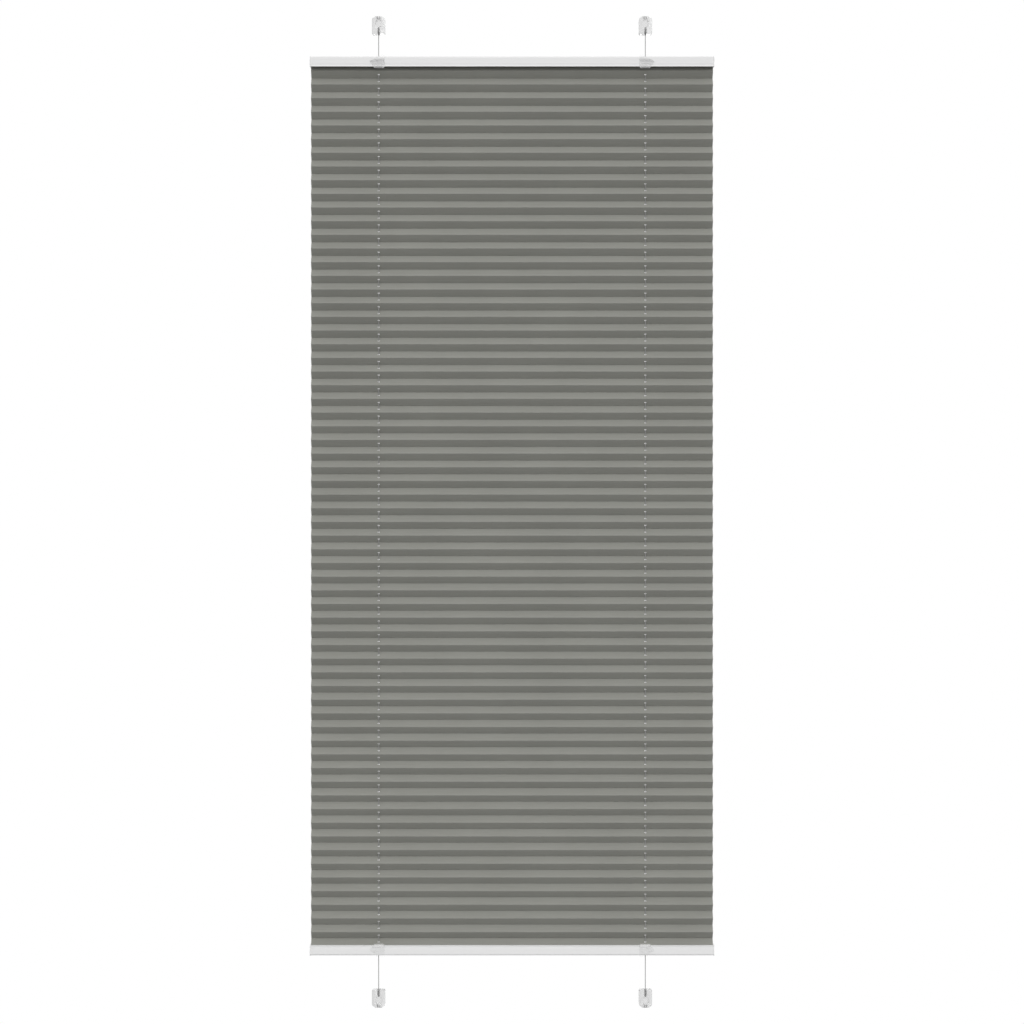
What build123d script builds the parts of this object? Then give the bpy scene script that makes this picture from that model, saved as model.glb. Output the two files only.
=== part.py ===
from build123d import *
from math import hypot
import os

os.makedirs("parts", exist_ok=True)

# Window recess and blind, in millimetres
window_height = 1104.0
blind_width = 450.0
blind_drop = 1000.0
top_rail_drop = 45.2
cord_inset = 76.3

# Rail section
rail_depth = 20.0
rail_wall = 1.1
rail_corner = 1.5
chamber_height = 5.3
ledge_thickness = 0.9
ledge_reach = 2.2
groove_height = 2.4
lip_thickness = 1.2
lip_bevel = 0.4
bead_height = 2.3
bead_groove = 0.35
slot_width = 12.4

# Pleated fabric
pleat_pitch = 15.24
pleat_depth = 7.0
first_face_rise = 5.4
fabric_thickness = 0.3
fabric_edge_gap = 0.2
flap_length = 7.0
cord_hole_width = 3.2

# Strip that holds the fabric in each rail
strip_thickness = 1.8
strip_end_gap = 4.0
strip_hole = 3.6

# Cords
cord_diameter = 0.8
cord_clearance = 0.5
lane_offset = 2.3

# Drop-shaped knob on the end of a cord
knob_diameter = 3.2
knob_length = 8.8
knob_tip_height = 4.0
knob_taper = 13.5
knob_sides = 12
knob_tail_diameter = 2.0
knob_tail_reach = 0.4
knob_fit = 0.2

# Clear tension shoe
shoe_width = 14.6
shoe_depth = 12.0
shoe_height = 19.6
seat_rise = 1.2
seat_width = 8.4
shoe_outer_corner = 3.0
shoe_inner_corner = 1.2
pocket_width = 6.4
pocket_height = 7.7
end_wall = 3.3
back_wall = 2.5
throat_height = 2.1
screw_hole_diameter = 4.2

# Clear handle clip, measured from the cord towards the middle and the end of the rail
clip_wall = 1.4
clip_rise = 1.6
clip_inner = 7.0
clip_outer = 9.4
clip_margin = 0.4
clip_tongue_outer = 2.6
clip_tongue_drop = 1.5
clip_cord_gap = 1.6
clip_ledge_centre = 0.5
clip_ledge_drop = 5.4
clip_ledge_thickness = 1.1
clip_ledge_reach = 4.0
clip_scoop_reach = 1.2
clip_lip_drop = 2.2
clip_lip_outer = 5.4
clip_corner_width = 1.2
clip_corner_height = 1.6
clip_lip_width = 8.0
clip_lip_reach = 3.0

# Cord guide in the chamber of a rail
guide_length = 14.0
guide_fit = 0.15
eyelet_length = 5.0
eyelet_width = 4.0
eyelet_fit = 0.1
guide_channel_height = 3.8

# End cap
cap_flange = 0.9
cap_overlap = 0.4
cap_corner = 1.8
cap_prong_length = 9.0
cap_prong_gap = 8.0
cap_lead = 0.6

# Sizes that follow from the ones above
cord_x = blind_width / 2 - cord_inset
cord_radius = cord_diameter / 2
bore_radius = cord_radius + cord_clearance
rail_length = blind_width - 2 * cap_flange
rail_height = rail_wall + chamber_height + ledge_thickness + groove_height + lip_thickness
chamber_width = rail_depth - 2 * rail_wall
chamber_floor = -rail_wall - chamber_height
groove_floor = -rail_height + lip_thickness
lane_height = -rail_wall - chamber_height / 2

# Rail, open towards the fabric, with its outer face at height zero
with BuildPart() as rail:
    with BuildSketch(Plane.YZ.offset(-rail_length / 2)) as rail_section:
        Rectangle(rail_depth, rail_height, align=(Align.CENTER, Align.MAX))
        fillet(rail_section.vertices().group_by(Axis.Y)[-1], rail_corner)
        chamfer(rail_section.vertices().group_by(Axis.Y)[0], lip_bevel)
        # Groove above the bead along the open edge, on the front and the back
        for face in (-1, 1):
            Polygon(
                (face * rail_depth / 2, bead_height - rail_height + bead_groove / 2),
                (face * (rail_depth / 2 - bead_groove), bead_height - rail_height),
                (face * rail_depth / 2, lip_bevel - rail_height),
                align=None,
                mode=Mode.SUBTRACT,
            )
        with Locations((0, chamber_floor)):
            Rectangle(
                chamber_width,
                chamber_height,
                align=(Align.CENTER, Align.MIN),
                mode=Mode.SUBTRACT,
            )
            Rectangle(
                chamber_width - 2 * ledge_reach,
                ledge_thickness,
                align=(Align.CENTER, Align.MAX),
                mode=Mode.SUBTRACT,
            )
        with Locations((0, groove_floor)):
            Rectangle(
                chamber_width,
                groove_height,
                align=(Align.CENTER, Align.MIN),
                mode=Mode.SUBTRACT,
            )
            Rectangle(
                slot_width,
                lip_thickness,
                align=(Align.CENTER, Align.MAX),
                mode=Mode.SUBTRACT,
            )
    extrude(amount=rail_length)
    # Punched openings for the eyelets of the cord guides
    with BuildSketch():
        with Locations((-cord_x, 0), (cord_x, 0)):
            Rectangle(eyelet_length + 2 * eyelet_fit, eyelet_width + 2 * eyelet_fit)
    extrude(amount=-rail_wall, mode=Mode.SUBTRACT)

# Strip that lies on the rail's lips, punched for the cords
with BuildPart() as strip:
    with BuildSketch(Plane.YZ.offset(-rail_length / 2 + strip_end_gap)) as strip_section:
        with Locations((0, groove_floor)):
            Rectangle(
                chamber_width - 2 * guide_fit,
                strip_thickness,
                align=(Align.CENTER, Align.MIN),
            )
        chamfer(strip_section.vertices(), strip_thickness / 5)
    extrude(amount=rail_length - 2 * strip_end_gap)
    with BuildSketch(Plane.XY.offset(groove_floor)):
        with Locations((-cord_x, 0), (cord_x, 0)):
            Rectangle(strip_hole, strip_hole)
    extrude(amount=strip_thickness, mode=Mode.SUBTRACT)

# End cap for the right end, with two prongs that grip the chamber
with BuildPart() as cap:
    with BuildSketch(Plane.YZ) as cap_outline:
        with Locations((0, cap_overlap)):
            Rectangle(
                rail_depth + 2 * cap_overlap,
                rail_height + cap_overlap,
                align=(Align.CENTER, Align.MAX),
            )
        fillet(cap_outline.vertices().group_by(Axis.Y)[-1], cap_corner)
        chamfer(cap_outline.vertices().group_by(Axis.Y)[0], lip_bevel)
    extrude(amount=cap_flange)
    with BuildSketch(Plane.YZ):
        with Locations((0, lane_height)):
            Rectangle(chamber_width - 2 * guide_fit, chamber_height - 2 * guide_fit)
            Rectangle(cap_prong_gap, chamber_height, mode=Mode.SUBTRACT)
    extrude(amount=-cap_prong_length)
    chamfer(cap.faces().filter_by(Axis.X).group_by(Axis.X)[0].edges(), cap_lead)

# Cord guide with an eyelet through the rail's outer wall, for the left cord
with BuildPart() as guide:
    with BuildSketch(Plane.XY.offset(chamber_floor)):
        Rectangle(guide_length, chamber_width - 2 * guide_fit)
    extrude(amount=chamber_height - guide_fit)
    chamfer(guide.edges().filter_by(Axis.Z), cap_lead)
    with BuildSketch():
        Rectangle(eyelet_length, eyelet_width)
    extrude(amount=-rail_wall - guide_fit)
    Hole(radius=bore_radius)
    # Channel where the two cords turn along the rail
    with BuildSketch(Plane.YZ.offset(guide_length / 2)):
        with Locations((0, chamber_floor)):
            Rectangle(
                2 * (lane_offset + bore_radius),
                guide_channel_height,
                align=(Align.CENTER, Align.MIN),
            )
    extrude(amount=-guide_length / 2 - bore_radius, mode=Mode.SUBTRACT)

# Finger ledge and scoop of the handle clip, cut from a disc and a cone on one axis
rail_front = -rail_depth / 2
clip_front = rail_front - clip_wall
ledge_floor = -clip_ledge_drop - clip_ledge_thickness
lip_floor = -rail_height - clip_lip_drop
ledge_half = clip_outer - clip_margin + clip_ledge_centre
ledge_radius = (ledge_half ** 2 + clip_ledge_reach ** 2) / 2 / clip_ledge_reach
scoop_axis = clip_front - clip_ledge_reach + ledge_radius
scoop_radius = scoop_axis - clip_front + clip_scoop_reach
with BuildPart() as grip:
    with Locations((0, 0, -clip_ledge_drop - clip_ledge_thickness / 2)):
        Cylinder(ledge_radius, clip_ledge_thickness)
    with Locations((0, 0, (ledge_floor + lip_floor) / 2)):
        Cone(scoop_radius, ledge_radius, ledge_floor - lip_floor)
    split(bisect_by=Plane.XZ.offset(scoop_axis - clip_front))
    split(
        bisect_by=Plane.YZ.offset(clip_inner - clip_margin - clip_ledge_centre),
        keep=Keep.BOTTOM,
    )

# Handle clip for the left cord, with a tongue over the rail and a lip under it
with BuildPart() as left_clip:
    with BuildSketch(Plane.XZ.offset(-rail_front)):
        with BuildLine():
            Polyline(
                (-clip_lip_outer, lip_floor),
                (clip_inner - clip_corner_width, lip_floor),
                (clip_inner, lip_floor + clip_corner_height),
                (clip_inner, clip_rise),
                (-clip_tongue_outer, clip_rise),
                (-clip_tongue_outer, -clip_tongue_drop),
                (-clip_outer, -clip_ledge_drop),
                (-clip_outer, ledge_floor),
            )
            TangentArc(
                (-clip_outer, ledge_floor),
                (-clip_lip_outer, lip_floor),
                tangent=(0, -1),
            )
        make_face()
    extrude(amount=clip_wall)
    # Tongue that lies on the rail and ends short of the cord
    with BuildSketch():
        with Locations((-clip_tongue_outer, clip_front)):
            Rectangle(
                clip_tongue_outer + clip_inner,
                -clip_cord_gap - clip_front,
                align=(Align.MIN, Align.MIN),
            )
    extrude(amount=clip_rise)
    with Locations((clip_ledge_centre, scoop_axis, 0)):
        add(grip.part)
    # Lip that snaps under the rail
    with BuildSketch(Plane.YZ.offset(-clip_lip_width / 2)):
        with BuildLine():
            lip_tip = rail_front + clip_lip_reach
            lip_middle = -rail_height - clip_lip_drop / 2
            Line((rail_front, lip_floor), (rail_front, -rail_height))
            Line((rail_front, -rail_height), (lip_tip, -rail_height))
            Line((lip_tip, -rail_height), (lip_tip, lip_middle))
            Line((lip_tip, lip_middle), (rail_front, lip_floor))
        make_face()
    extrude(amount=clip_lip_width)
with BuildPart() as right_clip:
    mirror(left_clip.part, about=Plane.YZ)

# Tension shoe with its seat at height zero
with BuildPart() as shoe:
    pocket_floor = -end_wall - pocket_height
    knob_shoulder = -shoe_height + throat_height
    throat_radius = knob_tail_diameter / 2 + knob_fit
    with BuildSketch(Plane.XZ.offset(-shoe_depth / 2)) as shoe_outline:
        with Locations((0, -seat_rise)):
            Rectangle(shoe_width, shoe_height - seat_rise, align=(Align.CENTER, Align.MAX))
        fillet(shoe_outline.vertices().group_by(Axis.Y)[-1], shoe_outer_corner)
        chamfer(shoe_outline.vertices().group_by(Axis.Y)[0], shoe_inner_corner)
        with Locations((0, -seat_rise)):
            Rectangle(seat_width, seat_rise, align=(Align.CENTER, Align.MIN))
    extrude(amount=shoe_depth)
    # Arched pocket for the head of the fixing screw, open to the front
    with BuildSketch(Plane.XZ.offset(shoe_depth / 2)):
        with Locations((0, -end_wall - pocket_width / 2)):
            Circle(pocket_width / 2)
            Rectangle(
                pocket_width,
                pocket_height - pocket_width / 2,
                align=(Align.CENTER, Align.MAX),
            )
    extrude(amount=-shoe_depth + back_wall, mode=Mode.SUBTRACT)
    # Bore for the knob, throat for its tail and the slot that lets the cord in from the front
    with BuildSketch(Plane.XY.offset(pocket_floor)):
        Circle(knob_diameter / 2 + knob_fit)
    extrude(amount=knob_shoulder - pocket_floor, mode=Mode.SUBTRACT)
    with BuildSketch(Plane.XY.offset(pocket_floor)):
        Circle(throat_radius)
        Rectangle(2 * throat_radius, shoe_depth, align=(Align.CENTER, Align.MAX))
    extrude(amount=-shoe_height - pocket_floor, mode=Mode.SUBTRACT)
    # Screw hole in the seat
    Hole(radius=screw_hole_diameter / 2, depth=end_wall + pocket_width / 2)

# Knob moulded on the end of a cord, resting on the shoulder of the throat
with BuildPart() as knob:
    knob_end = -shoe_height - knob_tail_reach
    knob_tip = knob_end + knob_length
    with BuildSketch(Plane.XY.offset(knob_end)):
        RegularPolygon(knob_tail_diameter / 2, knob_sides)
    extrude(amount=knob_shoulder - knob_end)
    with BuildSketch(Plane.XY.offset(knob_shoulder)):
        RegularPolygon(knob_diameter / 2, knob_sides)
    extrude(amount=knob_tip - knob_tip_height - knob_shoulder)
    with BuildSketch(Plane.XY.offset(knob_tip - knob_tip_height)):
        RegularPolygon(knob_diameter / 2, knob_sides)
    extrude(amount=knob_tip_height, taper=knob_taper)

# Pleated fabric, one folded sheet with a flap glued to the strip at each end
fabric_top = -top_rail_drop - rail_height + lip_thickness
fabric_bottom = -top_rail_drop - blind_drop + rail_height - lip_thickness
fabric_width = rail_length - 2 * fabric_edge_gap
pleat_count = round((fabric_top - fabric_bottom - first_face_rise) / pleat_pitch)
half_pitch = (fabric_top - fabric_bottom - first_face_rise) / pleat_count / 2
face_length = hypot(half_pitch, pleat_depth)
level_thickness = fabric_thickness * face_length / half_pitch
first_fold = pleat_depth * (first_face_rise / half_pitch - 0.5)
folds = [(first_fold, fabric_top), (-pleat_depth / 2, fabric_top - first_face_rise)]
for pleat in range(pleat_count):
    front_fold = folds[-1][1]
    folds.append((pleat_depth / 2, front_fold - half_pitch))
    folds.append((-pleat_depth / 2, front_fold - 2 * half_pitch))
front_side = [(y - level_thickness / 2, z) for y, z in folds]
back_side = [(y + level_thickness / 2, z) for y, z in reversed(folds)]
with BuildPart() as pleated_fabric:
    with BuildSketch(Plane.YZ.offset(-fabric_width / 2)):
        with BuildLine():
            Polyline(*front_side, *back_side, close=True)
        make_face()
        with Locations((first_fold + level_thickness / 2, fabric_top)):
            Rectangle(flap_length, fabric_thickness, align=(Align.MAX, Align.MAX))
        with Locations((-pleat_depth / 2 - level_thickness / 2, fabric_bottom)):
            Rectangle(flap_length, fabric_thickness, align=(Align.MIN, Align.MIN))
    extrude(amount=fabric_width)
    # Punched cord holes, as long down the flat pleat as they are wide
    hole_reach = cord_hole_width / 2
    hole_depth = hole_reach * pleat_depth / face_length
    with BuildSketch(Plane.XY.offset(fabric_top)):
        for hole_x in (-cord_x, cord_x):
            Polygon(
                (hole_x - hole_reach, 0),
                (hole_x, -hole_depth),
                (hole_x + hole_reach, 0),
                (hole_x, hole_depth),
                align=None,
            )
    extrude(amount=fabric_bottom - fabric_top, mode=Mode.SUBTRACT)
pleated_fabric.part.label = "pleated_fabric"
export_step(pleated_fabric.part, "parts/pleated_fabric.step")

# The two cords, straight from knob to knob
for side, sign in (("left", -1), ("right", 1)):
    with BuildPart() as tension_cord:
        with BuildSketch(Plane.XY.offset(knob_end)):
            with Locations((sign * cord_x, 0)):
                Circle(cord_radius)
        extrude(amount=-window_height - 2 * knob_end)
    tension_cord.part.label = f"tension_cord_{side}"
    export_step(tension_cord.part, f"parts/tension_cord_{side}.step")

# The lower rail and shoes are the upper ones turned half round from front to back
for end, turn, rail_place, seat_place in (
    ("top", 1, Location((0, 0, -top_rail_drop)), Location((0, 0, 0))),
    (
        "bottom",
        -1,
        Location((0, 0, -top_rail_drop - blind_drop), (0, 180, 0)),
        Location((0, 0, -window_height), (0, 180, 0)),
    ),
):
    for profile, piece in ((rail, "rail"), (strip, "fabric_strip")):
        with BuildPart() as placed:
            with Locations(rail_place):
                add(profile.part)
        placed.part.label = f"{end}_{piece}"
        export_step(placed.part, f"parts/{end}_{piece}.step")

    # Cord runs that cross inside the rail
    run_reach = cord_x - 2 * bore_radius
    for lane, lane_side in (("front", -1), ("rear", 1)):
        with BuildPart() as run:
            with BuildSketch(Plane.YZ.offset(-run_reach)):
                with Locations((lane_side * lane_offset, lane_height)):
                    Circle(cord_radius)
            extrude(amount=2 * run_reach)
        with BuildPart() as placed:
            with Locations(rail_place):
                add(run.part)
        placed.part.label = f"{end}_cord_run_{lane}"
        export_step(placed.part, f"parts/{end}_cord_run_{lane}.step")

    # Mouldings at each cord and at each rail end
    for side, sign in (("left", -1), ("right", 1)):
        at_cord = Location((turn * sign * cord_x, 0, 0))
        to_middle = Location((0, 0, 0), (0, 0, 90 + 90 * turn * sign))
        at_end = Location((turn * sign * rail_length / 2, 0, 0), (0, 0, 90 - 90 * turn * sign))
        for moulding, place, piece in (
            (cap, rail_place * at_end, "end_cap"),
            (guide, rail_place * at_cord * to_middle, "cord_guide"),
            (left_clip if turn * sign < 0 else right_clip, rail_place * at_cord, "handle_clip"),
            (shoe, seat_place * at_cord, "tension_shoe"),
            (knob, seat_place * at_cord, "cord_knob"),
        ):
            with BuildPart() as placed:
                with Locations(place):
                    add(moulding.part)
            placed.part.label = f"{end}_{side}_{piece}"
            export_step(placed.part, f"parts/{end}_{side}_{piece}.step")
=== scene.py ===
import bpy
import bmesh
from math import cos, hypot, pi, radians, sin
from mathutils import Matrix, Vector


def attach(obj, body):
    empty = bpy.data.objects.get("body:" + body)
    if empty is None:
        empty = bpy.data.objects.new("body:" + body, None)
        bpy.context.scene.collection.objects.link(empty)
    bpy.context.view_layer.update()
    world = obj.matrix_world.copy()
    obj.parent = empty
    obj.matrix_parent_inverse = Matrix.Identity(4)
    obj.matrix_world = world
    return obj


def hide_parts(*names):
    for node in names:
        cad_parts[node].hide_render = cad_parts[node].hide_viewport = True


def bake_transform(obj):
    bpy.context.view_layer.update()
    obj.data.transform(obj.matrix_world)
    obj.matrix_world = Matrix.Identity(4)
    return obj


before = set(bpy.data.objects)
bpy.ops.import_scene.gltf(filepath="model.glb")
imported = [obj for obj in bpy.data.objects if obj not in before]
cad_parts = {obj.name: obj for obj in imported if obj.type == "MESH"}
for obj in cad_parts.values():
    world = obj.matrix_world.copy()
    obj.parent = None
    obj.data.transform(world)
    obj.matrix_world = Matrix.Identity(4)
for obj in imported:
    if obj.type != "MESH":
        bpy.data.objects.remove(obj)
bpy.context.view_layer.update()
scene = bpy.context.scene
scene.view_settings.view_transform = "Standard"


class socketMath:
    # an output socket that can be used in plain arithmetic
    def __init__(self, tree, socket):
        self.tree, self.socket = tree, socket

    def apply(self, operation, first, second=None):
        values = {0: first}
        if second is not None:
            values[1] = second
        return addNode(self.tree, "ShaderNodeMath", {"operation": operation}, values)

    def __add__(self, other): return self.apply("ADD", self, other)
    def __radd__(self, other): return self.apply("ADD", other, self)
    def __sub__(self, other): return self.apply("SUBTRACT", self, other)
    def __rsub__(self, other): return self.apply("SUBTRACT", other, self)
    def __mul__(self, other): return self.apply("MULTIPLY", self, other)
    def __rmul__(self, other): return self.apply("MULTIPLY", other, self)
    def __truediv__(self, other): return self.apply("DIVIDE", self, other)
    def __rtruediv__(self, other): return self.apply("DIVIDE", other, self)
    def __pow__(self, other): return self.apply("POWER", self, other)
    def __neg__(self): return self.apply("MULTIPLY", self, -1.0)


def addNode(tree, kind, settings=None, values=None, output=0):
    # settings first, because they decide which sockets the node has
    node = tree.nodes.new(kind)
    for name, value in (settings or {}).items():
        if name == "stops":
            ramp = node.color_ramp
            while len(ramp.elements) < len(value):
                ramp.elements.new(0.5)
            for element, (place, colour) in zip(ramp.elements, value):
                element.position, element.color = place, colour
        else:
            setattr(node, name, value)
    for key, value in (values or {}).items():
        if isinstance(value, socketMath):
            tree.links.new(value.socket, node.inputs[key])
        else:
            node.inputs[key].default_value = value
    return socketMath(tree, node.outputs[output]) if node.outputs else node


def newMaterial(name):
    material = bpy.data.materials.new(name)
    material.use_nodes = True
    tree = material.node_tree
    for node in list(tree.nodes):
        tree.nodes.remove(node)
    return material, tree


def finishMaterial(tree, values):
    surface = addNode(tree, "ShaderNodeBsdfPrincipled", None, values)
    addNode(tree, "ShaderNodeOutputMaterial", None, {"Surface": surface})


def objectPoint(tree):
    return addNode(tree, "ShaderNodeTexCoord", output="Object")


def noise(tree, vector, scale, detail=3.0, roughness=0.5):
    return addNode(tree, "ShaderNodeTexNoise", {"noise_dimensions": "3D"},
                   {"Vector": vector, "Scale": scale, "Detail": detail, "Roughness": roughness})


def stretched(tree, vector, scale):
    return addNode(tree, "ShaderNodeMapping", {"vector_type": "POINT"}, {"Vector": vector, "Scale": scale})


def mixColour(tree, factor, first, second):
    node = tree.nodes.new("ShaderNodeMix")
    node.data_type = "RGBA"
    for index, value in ((0, factor), (6, first), (7, second)):
        if isinstance(value, socketMath):
            tree.links.new(value.socket, node.inputs[index])
        else:
            node.inputs[index].default_value = value
    return socketMath(tree, node.outputs[2])


def eased(tree, value, low, high, most=1.0):
    # rises smoothly from nothing at low to most at high
    return addNode(tree, "ShaderNodeMapRange", {"interpolation_type": "SMOOTHSTEP"},
                   {0: value, 1: low, 2: high, 3: 0.0, 4: most})


def axes(tree, vector):
    parts = tree.nodes.new("ShaderNodeSeparateXYZ")
    tree.links.new(vector.socket, parts.inputs[0])
    return [socketMath(tree, parts.outputs[name]) for name in ("X", "Y", "Z")]


def bump(tree, height, strength, distance):
    return addNode(tree, "ShaderNodeBump", None,
                   {"Strength": strength, "Distance": distance, "Height": height})


def grey(value, warm=0.0):
    return (value + warm, value + warm * 0.6, value - warm, 1.0)


studio = {
    "skyLow": 0.36,
    "skyMiddle": 0.5,
    "skyTop": 0.28,
    "lamps": {
        "softLamp": {"power": 1.3, "spread": 42, "height": 38, "turn": -6},
        "frontFill": {"power": 0.5, "spread": 50, "height": 4, "turn": 8},
    },
    "floorTone": 0.5,
    "floorSeen": 1.0,
    "floorHeight": -1.45,
    "floorSize": 2.6,
    "cameraDistance": 3.43,
    "cameraHeight": -0.552,
    "lens": 108.1,
}


def buildStudio():
    world = bpy.data.worlds.new("softStudio")
    scene.world = world
    world.use_nodes = True
    tree = world.node_tree
    for node in list(tree.nodes):
        tree.nodes.remove(node)
    # light falls a little stronger from above, and the camera sees plain white
    direction = addNode(tree, "ShaderNodeTexCoord", output="Generated")
    height = addNode(tree, "ShaderNodeSeparateXYZ", None, {0: direction}, output="Z")
    level = (studio["skyLow"] + eased(tree, height, -0.5, 0.15, studio["skyMiddle"] - studio["skyLow"])
             + eased(tree, height, 0.3, 0.85, studio["skyTop"]))
    rays = addNode(tree, "ShaderNodeLightPath", output="Is Camera Ray")
    node = rays.socket.node
    shiny = socketMath(tree, node.outputs["Is Glossy Ray"])
    clear = socketMath(tree, node.outputs["Is Transmission Ray"])
    seen = addNode(tree, "ShaderNodeMath", {"operation": "ADD", "use_clamp": True},
                   {0: rays + shiny, 1: clear})
    strength = seen + (1 - seen) * level
    background = addNode(tree, "ShaderNodeBackground", None,
                         {"Color": (1.0, 1.0, 1.0, 1.0), "Strength": strength})
    addNode(tree, "ShaderNodeOutputWorld", None, {"Surface": background})

    for name, values in studio["lamps"].items():
        lamp = bpy.data.lights.new(name, "SUN")
        lamp.energy = values["power"]
        lamp.angle = radians(values["spread"])
        lampObject = bpy.data.objects.new(name, lamp)
        scene.collection.objects.link(lampObject)
        lampObject.rotation_euler = (radians(90 - values["height"]), 0, radians(values["turn"]))

    half = studio["floorSize"] / 2
    mesh = bpy.data.meshes.new("floor")
    mesh.from_pydata([(-half, -half, studio["floorHeight"]), (half, -half, studio["floorHeight"]),
                      (half, half, studio["floorHeight"]), (-half, half, studio["floorHeight"])],
                     [], [(0, 1, 2, 3)])
    floor = bpy.data.objects.new("floor", mesh)
    scene.collection.objects.link(floor)
    material, tree = newMaterial("paleFloor")
    # seen through clear plastic, the floor is as white as the backdrop
    seen = addNode(tree, "ShaderNodeLightPath", output="Is Camera Ray")
    through = socketMath(tree, seen.socket.node.outputs["Is Transmission Ray"])
    plain = addNode(tree, "ShaderNodeBsdfDiffuse", None, {
        "Color": mixColour(tree, seen, grey(studio["floorTone"]), grey(studio["floorSeen"])),
    })
    white = addNode(tree, "ShaderNodeEmission", None, {"Strength": 1.0})
    mixed = addNode(tree, "ShaderNodeMixShader", None, {0: through, 1: plain, 2: white})
    addNode(tree, "ShaderNodeOutputMaterial", None, {"Surface": mixed})
    mesh.materials.append(material)

    camera = bpy.data.cameras.new("camera")
    camera.lens = studio["lens"]
    camera.sensor_width = 36.0
    cameraObject = bpy.data.objects.new("camera", camera)
    scene.collection.objects.link(cameraObject)
    cameraObject.location = (0.0, -studio["cameraDistance"], studio["cameraHeight"])
    cameraObject.rotation_euler = (radians(90), 0, 0)
    scene.camera = cameraObject


buildStudio()
print("studio is ready")


# each face is the height of a rail's outer face, with the way from it to the cloth
rail = {
    "faces": {"top": (-0.0452, -1.0), "bottom": (-1.0452, 1.0)},
    "halfDepth": 0.01,
    "height": 0.0109,
    "lipBevel": 0.0004,
    "lipEase": 0.00015,
    "lipDrop": 0.0002,
    "roundDrop": 0.0016,
    "tolerance": 0.00002,
}


def makePowderCoat():
    material, tree = newMaterial("railPowderCoat")
    point = objectPoint(tree)
    drawn = noise(tree, stretched(tree, point, (3.0, 900.0, 900.0)), 1.0, 2.0)
    orangePeel = noise(tree, point, 1400.0, 2.0)
    tone = mixColour(tree, drawn, grey(0.71), grey(0.74))
    height = drawn * 0.5 + orangePeel * 0.5
    finishMaterial(tree, {
        "Base Color": tone,
        "Roughness": 0.36 + 0.1 * orangePeel,
        "Normal": bump(tree, height, 0.25, 0.00006),
    })
    return material


def makePlastic(name, value, roughness, grain=900.0):
    material, tree = newMaterial(name)
    point = objectPoint(tree)
    mottle = noise(tree, point, grain, 3.0)
    finishMaterial(tree, {
        "Base Color": mixColour(tree, mottle, grey(value - 0.015), grey(value + 0.015)),
        "Roughness": roughness + 0.08 * mottle,
        "Normal": bump(tree, mottle, 0.2, 0.00005),
    })
    return material


def makeClearPlastic():
    material, tree = newMaterial("clearPlastic")
    ripple = noise(tree, objectPoint(tree), 160.0, 2.0)
    finishMaterial(tree, {
        "Base Color": grey(0.68),
        "Roughness": 0.14 + 0.05 * ripple,
        "IOR": 1.49,
        "Transmission Weight": 1.0,
        "Normal": bump(tree, ripple, 0.08, 0.0002),
    })
    return material


# the two cuts are a distance from the cord and a drop from the rail's outer face
clip = {
    "length": 0.015,
    "cordOffset": 0.1487,
    "cutTop": (-0.0094, 0.0062),
    "cutFoot": (-0.0044, 0.0131),
}


def makeClipPlasticWithPaintedShade(name, side, depth):
    # clear plastic that lies on the rail, with painted shade under the finger ledge and in the scoop and a
    # painted highlight on the lower rim, set along the moulding
    material, tree = newMaterial(name)
    point = objectPoint(tree)
    outerFace, towards = rail["faces"][side]
    drop = (axes(tree, point)[2] - outerFace) * towards / clip["length"]
    ripple = noise(tree, point, 160.0, 2.0)
    tone = addNode(tree, "ShaderNodeValToRGB", {"stops": clipPaintedShadeAndHighlight(depth)}, {0: drop})
    cover = addNode(tree, "ShaderNodeValToRGB", {"stops": clipCover(depth)}, {0: drop})
    finishMaterial(tree, {
        "Base Color": tone,
        "Roughness": 0.12 + 0.05 * ripple,
        "IOR": 1.49,
        "Alpha": cover,
        "Normal": bump(tree, ripple, 0.12, 0.0002),
    })
    return material


def clipPaintedShadeAndHighlight(depth):
    # along the clip, from the rail's outer face to the lip: painted shade under the finger ledge (darker
    # the larger depth is), painted shade in the scoop, and a painted highlight on the lower rim
    return [(0.0, grey(0.8)), (0.15, grey(0.8)), (0.2, grey(0.8 - 0.5 * depth)),
            (0.38, grey(0.8 - 0.55 * depth)), (0.45, grey(0.5)), (0.62, grey(0.5)), (0.72, grey(0.9))]


# the cover rises where the shade and the highlight are painted, so that they show over the rail
def clipCover(depth):
    return [(0.0, grey(0.04)), (0.15, grey(0.04)), (0.2, grey(0.02 + 0.1 * depth)),
            (0.38, grey(0.02 + 0.11 * depth)), (0.45, grey(0.02 + 0.08 * depth)),
            (0.62, grey(0.02 + 0.08 * depth)), (0.72, grey(0.2 + 0.1 * depth))]


def makeCordMaterial():
    material, tree = newMaterial("braidedCord")
    point = objectPoint(tree)
    x, y, z = axes(tree, point)
    turn = (x + y) * 2400.0
    rise = z * 2600.0
    crossA = addNode(tree, "ShaderNodeMath", {"operation": "SINE"}, {0: turn + rise})
    crossB = addNode(tree, "ShaderNodeMath", {"operation": "SINE"}, {0: turn - rise})
    braid = crossA * crossB * 0.5 + 0.5
    finishMaterial(tree, {
        "Base Color": mixColour(tree, braid, grey(0.22), grey(0.31)),
        "Roughness": 0.75,
        "Normal": bump(tree, braid, 0.5, 0.0001),
    })
    return material


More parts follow.
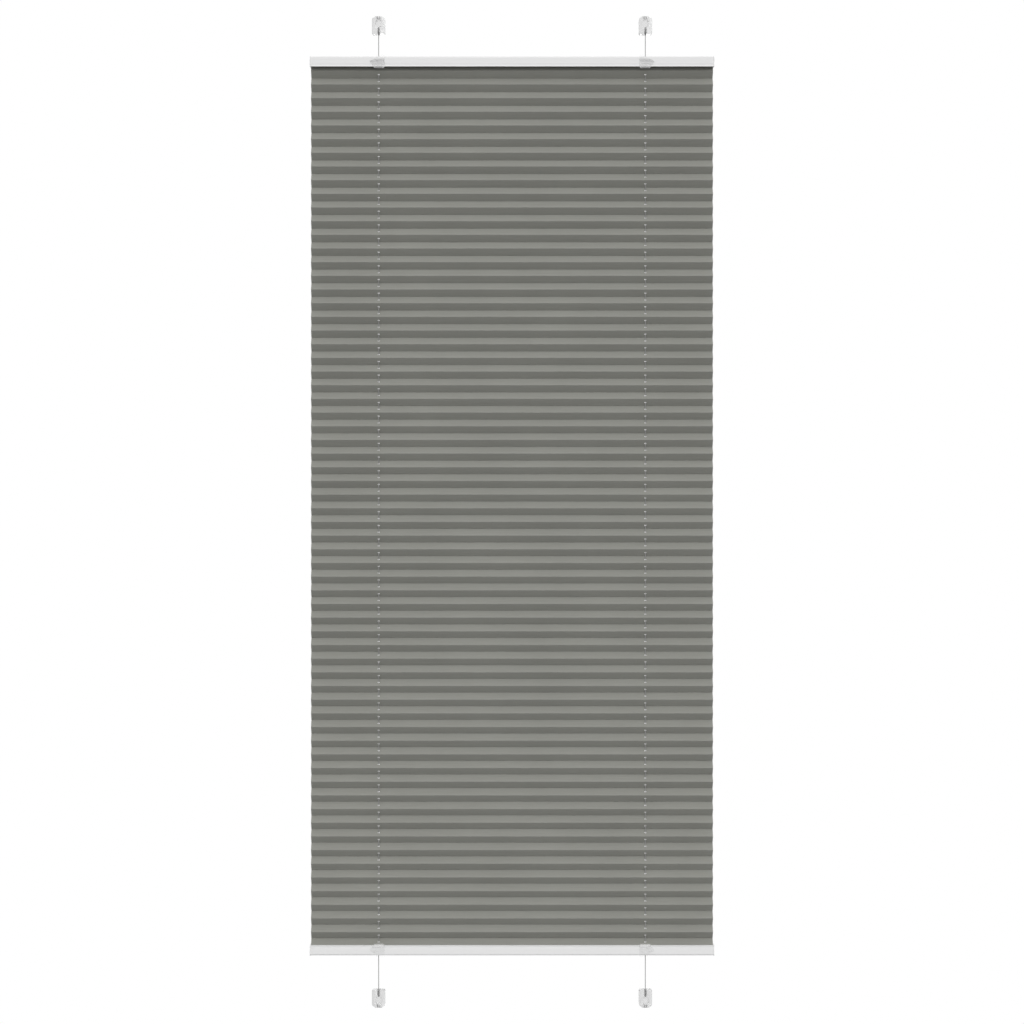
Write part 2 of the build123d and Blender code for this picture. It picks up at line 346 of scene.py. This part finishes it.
def makeFabricMaterial():
    # fine woven cloth: threads along the folds and across them, with slubs and a little crepe
    material, tree = newMaterial("pleatedPolyester")
    point = objectPoint(tree)
    x, _, z = axes(tree, point)
    weft = addNode(tree, "ShaderNodeMath", {"operation": "SINE"}, {0: z * 13000.0})
    warp = addNode(tree, "ShaderNodeMath", {"operation": "SINE"}, {0: x * 9500.0})
    slubs = noise(tree, stretched(tree, point, (45.0, 900.0, 2200.0)), 1.0, 2.0)
    crepe = noise(tree, point, 2300.0, 2.0)
    cloud = noise(tree, point, 14.0, 2.0)
    weave = weft * warp * 0.25 + 0.5
    shade = weave * 0.2 + slubs * 0.35 + crepe * 0.25 + cloud * 0.2
    finishMaterial(tree, {
        "Base Color": mixColour(tree, shade, (0.165, 0.167, 0.15, 1.0), (0.322, 0.323, 0.295, 1.0)),
        "Roughness": 0.85,
        "Sheen Weight": 0.1,
        "Sheen Roughness": 0.5,
        "Normal": bump(tree, weave * 0.5 + slubs * 0.5 + crepe * 0.4, 0.35, 0.00012),
    })
    return material


materials = {
    "rail": makePowderCoat(),
    "cap": makePlastic("capPlastic", 0.73, 0.38),
    "clear": makeClearPlastic(),
    # the last number sets how strong the clip's painted shade is: full on the top rail, fainter on the
    # bottom rail
    "topClip": makeClipPlasticWithPaintedShade("topClipPlastic", "top", 1.0),
    "bottomClip": makeClipPlasticWithPaintedShade("bottomClipPlastic", "bottom", 0.35),
    "cord": makeCordMaterial(),
    "knob": makePlastic("knobPlastic", 0.3, 0.3),
    "inner": makePlastic("innerPlastic", 0.74, 0.5),
    "fabric": makeFabricMaterial(),
}
print("materials are ready")


finishOfNode = {
    "_end_cap": "cap",
    "_tension_shoe": "clear",
    "top_left_handle_clip": "topClip",
    "top_right_handle_clip": "topClip",
    "bottom_left_handle_clip": "bottomClip",
    "bottom_right_handle_clip": "bottomClip",
    "_cord_knob": "knob",
    "_cord_guide": "inner",
    "_fabric_strip": "inner",
    "_cord_run_": "cord",
    "tension_cord_": "cord",
    "_rail": "rail",
    "pleated_fabric": "fabric",
}


def finishFor(name):
    return next(materials[finish] for part, finish in finishOfNode.items() if part in name)


for name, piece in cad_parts.items():
    piece.data.materials.clear()
    piece.data.materials.append(finishFor(name))
print("CAD pieces have their finishes")


def applyModifiers(piece):
    bpy.context.view_layer.update()
    mesh = bpy.data.meshes.new_from_object(piece.evaluated_get(bpy.context.evaluated_depsgraph_get()))
    piece.modifiers.clear()
    piece.data = mesh


weldDistance = 0.000002


def weldedCopy(name, flatAngle):
    # a welded copy with whole flat faces, because the CAD mesh itself stays as it is
    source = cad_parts[name]
    mesh = bmesh.new()
    mesh.from_mesh(source.data)
    mesh.transform(source.matrix_world)
    bmesh.ops.remove_doubles(mesh, verts=mesh.verts, dist=weldDistance)
    bmesh.ops.dissolve_limit(mesh, angle_limit=radians(flatAngle), verts=mesh.verts, edges=mesh.edges)
    return mesh


def pieceFrom(mesh, name, ending):
    data = bpy.data.meshes.new(name + ending)
    mesh.to_mesh(data)
    mesh.free()
    data.materials.append(finishFor(name))
    data.shade_smooth()
    piece = bpy.data.objects.new(name + ending, data)
    scene.collection.objects.link(piece)
    return piece


mouldings = {
    "_tension_shoe": {"edge": 0.0005, "slot": "clear_plastic"},
    "_handle_clip": {"edge": 0.0003, "slot": "clear_plastic"},
    "_end_cap": {"edge": 0.0003, "slot": "cap_white"},
    "_cord_knob": {"edge": 0.0003, "slot": "knob_grey"},
}


def bodyOf(name):
    if "_shoe" in name or "_knob" in name:
        return "window_side"
    return name.split("_")[0] + "_rail"


def trimClip(mesh, name):
    # the side of the clip towards the rail's end runs in under the finger ledge
    side = -1 if "_left_" in name else 1
    outerFace, towards = rail["faces"][name.split("_")[0]]
    high, low = (Vector((side * (clip["cordOffset"] - x), 0, outerFace + towards * z))
                 for x, z in (clip["cutTop"], clip["cutFoot"]))
    along = low - high
    outward = Vector((along.z, 0, -along.x))
    if outward.x * side < 0:
        outward = -outward
    cut = bmesh.ops.bisect_plane(mesh, geom=mesh.verts[:] + mesh.edges[:] + mesh.faces[:],
                                 plane_co=high, plane_no=outward, clear_outer=True)
    rim = [item for item in cut["geom_cut"] if isinstance(item, bmesh.types.BMEdge)]
    bmesh.ops.holes_fill(mesh, edges=rim, sides=0)
    bmesh.ops.recalc_face_normals(mesh, faces=mesh.faces)


def softenMoulding(name, edge):
    # the same moulding with its sharp edges eased
    mesh = weldedCopy(name, 1)
    if "_clip" in name:
        trimClip(mesh, name)
    piece = pieceFrom(mesh, name, "Soft")
    bevel = piece.modifiers.new("edges", "BEVEL")
    bevel.width = edge
    bevel.segments = 2
    bevel.limit_method = "ANGLE"
    bevel.angle_limit = radians(32)
    bevel.harden_normals = True
    applyModifiers(piece)
    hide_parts(name)
    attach(piece, bodyOf(name))


def sharpenRail(name):
    # the same section with a crisper edge along the open side
    outerFace, towards = rail["faces"][name.split("_")[0]]
    mesh = weldedCopy(name, 0.5)
    for vert in mesh.verts:
        fromLip = (vert.co.z - outerFace) * towards - rail["height"]
        side = 1 if vert.co.y > 0 else -1
        proud = abs(vert.co.y) - rail["halfDepth"]
        if abs(fromLip) < rail["tolerance"]:
            vert.co.z += towards * rail["lipDrop"]
            if abs(proud + rail["lipBevel"]) < rail["tolerance"]:
                vert.co.y = side * (rail["halfDepth"] - rail["lipEase"])
        elif abs(fromLip + rail["lipBevel"]) < rail["tolerance"] and abs(proud) < rail["tolerance"]:
            vert.co.z = outerFace + towards * (rail["height"] + rail["lipDrop"] - rail["lipEase"])
    piece = pieceFrom(mesh, name, "Crisp")
    points = piece.data.vertices
    for edge in piece.data.edges:
        drops = [(points[index].co.z - outerFace) * towards for index in edge.vertices]
        edge.use_edge_sharp = max(drops) > rail["roundDrop"]
    piece.modifiers.new("evenNormals", "WEIGHTED_NORMAL").keep_sharp = True
    applyModifiers(piece)
    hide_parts(name)
    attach(piece, name)


for name in ("top_rail", "bottom_rail"):
    sharpenRail(name)
for name in sorted(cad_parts):
    for part, values in mouldings.items():
        if part in name:
            softenMoulding(name, values["edge"])
print("mouldings have eased edges")


# top and bottom are the middles of the flaps, a little over half the cloth's thickness off the strips
fabric = {
    "pleats": 64,
    "pleatDepth": 0.007,
    "topFold": -0.0603,
    "bottom": -1.03538,
    "top": -0.05502,
    "firstBack": 0.00146,
    "width": 0.448,
    "holeWidth": 0.002,
    "holeSides": 14,
    "foldRound": 0.0004,
    "foldAngle": 0.3,
    "cordOffset": 0.1487,
    "thickness": 0.00022,
    "flap": 0.0068,
    "weld": 0.00001,
}
halfPitch = (fabric["topFold"] - fabric["bottom"]) / fabric["pleats"] / 2


def panelTree():
    # one punched face, set on a line of points and turned to and fro
    tree = bpy.data.node_groups.new("pleats", "GeometryNodeTree")
    face = tree.interface
    face.new_socket("Geometry", in_out="OUTPUT", socket_type="NodeSocketGeometry")
    for name, kind, value in (
        ("Pleats", "NodeSocketInt", 64), ("Half Pitch", "NodeSocketFloat", 0.0076),
        ("Pleat Depth", "NodeSocketFloat", 0.007), ("Width", "NodeSocketFloat", 0.45),
        ("Hole Width", "NodeSocketFloat", 0.0024), ("Cord Offset", "NodeSocketFloat", 0.15),
        ("Top Fold", "NodeSocketFloat", 0.0),
    ):
        face.new_socket(name, in_out="INPUT", socket_type=kind).default_value = value
    face.new_socket("Material", in_out="INPUT", socket_type="NodeSocketMaterial")
    given = tree.nodes.new("NodeGroupInput")

    def take(name):
        return socketMath(tree, given.outputs[name])

    pitch, depth = take("Half Pitch"), take("Pleat Depth")
    length = addNode(tree, "ShaderNodeMath", {"operation": "SQRT"}, {0: pitch * pitch + depth * depth})
    outline = addNode(tree, "GeometryNodeCurvePrimitiveQuadrilateral", {"mode": "RECTANGLE"},
                      {"Width": take("Width"), "Height": length})
    ring = addNode(tree, "GeometryNodeCurvePrimitiveCircle", {"mode": "RADIUS"},
                   {"Resolution": fabric["holeSides"], "Radius": take("Hole Width") / 2.0})
    join = tree.nodes.new("GeometryNodeJoinGeometry")
    tree.links.new(outline.socket, join.inputs[0])
    for side in (-1.0, 1.0):
        place = addNode(tree, "ShaderNodeCombineXYZ", None, {"X": take("Cord Offset") * side})
        moved = addNode(tree, "GeometryNodeTransform", None, {"Geometry": ring, "Translation": place})
        tree.links.new(moved.socket, join.inputs[0])
    panel = addNode(tree, "GeometryNodeFillCurve", {"mode": "TRIANGLES"},
                    {"Curve": socketMath(tree, join.outputs[0])})

    start = addNode(tree, "ShaderNodeCombineXYZ", None, {"Z": take("Top Fold") - pitch / 2.0})
    step = addNode(tree, "ShaderNodeCombineXYZ", None, {"Z": -pitch})
    line = addNode(tree, "GeometryNodeMeshLine", {"mode": "OFFSET"},
                   {"Count": take("Pleats") * 2.0, "Start Location": start, "Offset": step})
    index = addNode(tree, "GeometryNodeInputIndex")
    odd = addNode(tree, "ShaderNodeMath", {"operation": "MODULO"}, {0: index, 1: 2.0})
    slope = addNode(tree, "ShaderNodeMath", {"operation": "ARCTAN2"}, {0: pitch, 1: depth})
    lean = (1 - odd) * -slope + odd * (slope - pi)
    turn = addNode(tree, "ShaderNodeCombineXYZ", None, {"X": lean})
    turned = addNode(tree, "FunctionNodeEulerToRotation", None, {0: turn})
    rows = addNode(tree, "GeometryNodeInstanceOnPoints", None,
                   {"Points": line, "Instance": panel, "Rotation": turned})
    real = addNode(tree, "GeometryNodeRealizeInstances", None, {"Geometry": rows})
    joined = addNode(tree, "GeometryNodeMergeByDistance", None,
                     {"Geometry": real, "Distance": fabric["weld"]})
    coloured = addNode(tree, "GeometryNodeSetMaterial", None,
                       {"Geometry": joined, "Material": take("Material")})
    output = tree.nodes.new("NodeGroupOutput")
    tree.links.new(coloured.socket, output.inputs[0])
    return tree


def meshFromTree(name, tree, values):
    holder = bpy.data.objects.new(name, bpy.data.meshes.new(name + "Base"))
    scene.collection.objects.link(holder)
    modifier = holder.modifiers.new("rule", "NODES")
    modifier.node_group = tree
    for item in tree.interface.items_tree:
        if item.in_out == "INPUT" and item.name in values:
            modifier[item.identifier] = values[item.name]
    bpy.context.view_layer.update()
    evaluated = holder.evaluated_get(bpy.context.evaluated_depsgraph_get())
    mesh = bpy.data.meshes.new_from_object(evaluated)
    holder.modifiers.clear()
    bpy.data.objects.remove(holder)
    mesh.name = name
    piece = bpy.data.objects.new(name, mesh)
    scene.collection.objects.link(piece)
    return piece


def punchedFace(mesh, above, below):
    # a face between two rows, with a hole where each cord crosses it
    corners = (above[0], below[0], below[1], above[1])
    start, end = above[0].co, below[0].co
    along = (end - start).normalized()
    middle = start + (end - start) * (start.y / (start.y - end.y))
    turns = [2 * pi * step / fabric["holeSides"] for step in range(fabric["holeSides"])]
    ring = [(Vector((cos(turn), 0, 0)) + along * sin(turn)) * fabric["holeWidth"] / 2 for turn in turns]
    loops = [corners]
    for side in (-1, 1):
        centre = Vector((side * fabric["cordOffset"], middle.y, middle.z))
        loops.append([mesh.verts.new(centre + point) for point in ring])
    edges = [mesh.edges.get(pair) or mesh.edges.new(pair)
             for loop in loops for pair in zip(loop, [*loop[1:], loop[0]])]
    bmesh.ops.triangle_fill(mesh, edges=edges, use_beauty=True, normal=along.cross(Vector((1, 0, 0))))


def makeFabric():
    sheet = meshFromTree("pleatedSheet", panelTree(), {
        "Pleats": fabric["pleats"], "Half Pitch": halfPitch, "Pleat Depth": fabric["pleatDepth"],
        "Width": fabric["width"], "Hole Width": fabric["holeWidth"], "Cord Offset": fabric["cordOffset"],
        "Top Fold": fabric["topFold"], "Material": materials["fabric"],
    })
    # the first short face, and the flaps that lie along the strips
    half = fabric["width"] / 2
    front = -fabric["pleatDepth"] / 2
    mesh = bmesh.new()
    mesh.from_mesh(sheet.data)
    for points in (
        ((front, fabric["topFold"]), (fabric["firstBack"], fabric["top"]),
         (fabric["firstBack"] - fabric["flap"], fabric["top"])),
        ((front, fabric["bottom"]), (front + fabric["flap"], fabric["bottom"])),
    ):
        rows = [[mesh.verts.new((x, y, z)) for x in (-half, half)] for y, z in points]
        for above, below in zip(rows, rows[1:]):
            punchedFace(mesh, above, below)
    bmesh.ops.remove_doubles(mesh, verts=mesh.verts, dist=fabric["weld"])
    bmesh.ops.recalc_face_normals(mesh, faces=mesh.faces)
    # a fold runs nearly the whole width, and its two faces meet at an angle
    folds = [edge for edge in mesh.edges
             if edge.calc_length() > 0.9 * fabric["width"] and len(edge.link_faces) == 2
             and edge.calc_face_angle() > fabric["foldAngle"]]
    bmesh.ops.bevel(mesh, geom=folds, offset=fabric["foldRound"], segments=2, profile=0.5, affect="EDGES")
    for face in mesh.faces:
        face.material_index = 0
    mesh.to_mesh(sheet.data)
    mesh.free()
    sheet.data.materials.clear()
    sheet.data.materials.append(materials["fabric"])
    # both sides of the cloth follow its middle, so it keeps its thickness when it is stacked
    lower = sheet.data.attributes.new("lowerShare", "FLOAT", "POINT")
    span = fabric["top"] - fabric["bottom"]
    lower.data.foreach_set("value", [min(max((fabric["top"] - vert.co.z) / span, 0), 1)
                                     for vert in sheet.data.vertices])
    thick = sheet.modifiers.new("thickness", "SOLIDIFY")
    thick.thickness = fabric["thickness"]
    thick.offset = 0.0
    applyModifiers(sheet)
    return sheet


pleatedSheet = makeFabric()


def hangFabric(sheet):
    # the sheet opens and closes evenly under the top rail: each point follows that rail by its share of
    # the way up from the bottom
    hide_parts("pleated_fabric")
    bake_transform(sheet)
    share = [item.value for item in sheet.data.attributes["lowerShare"].data]
    group = sheet.vertex_groups.new(name="upperShare")
    for index, low in enumerate(share):
        if low < 1:
            group.add([index], 1 - low, "REPLACE")
    hanger = bpy.data.objects.new("fabricHanger", None)
    scene.collection.objects.link(hanger)
    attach(hanger, "top_rail")
    hook = sheet.modifiers.new("upperRail", "HOOK")
    hook.object = hanger
    hook.vertex_group = group.name
    hook.matrix_inverse = Matrix.Identity(4)
    hook.strength = 1.0
    hook.falloff_type = "NONE"


hangFabric(pleatedSheet)
print("pleated fabric hangs between the rails")
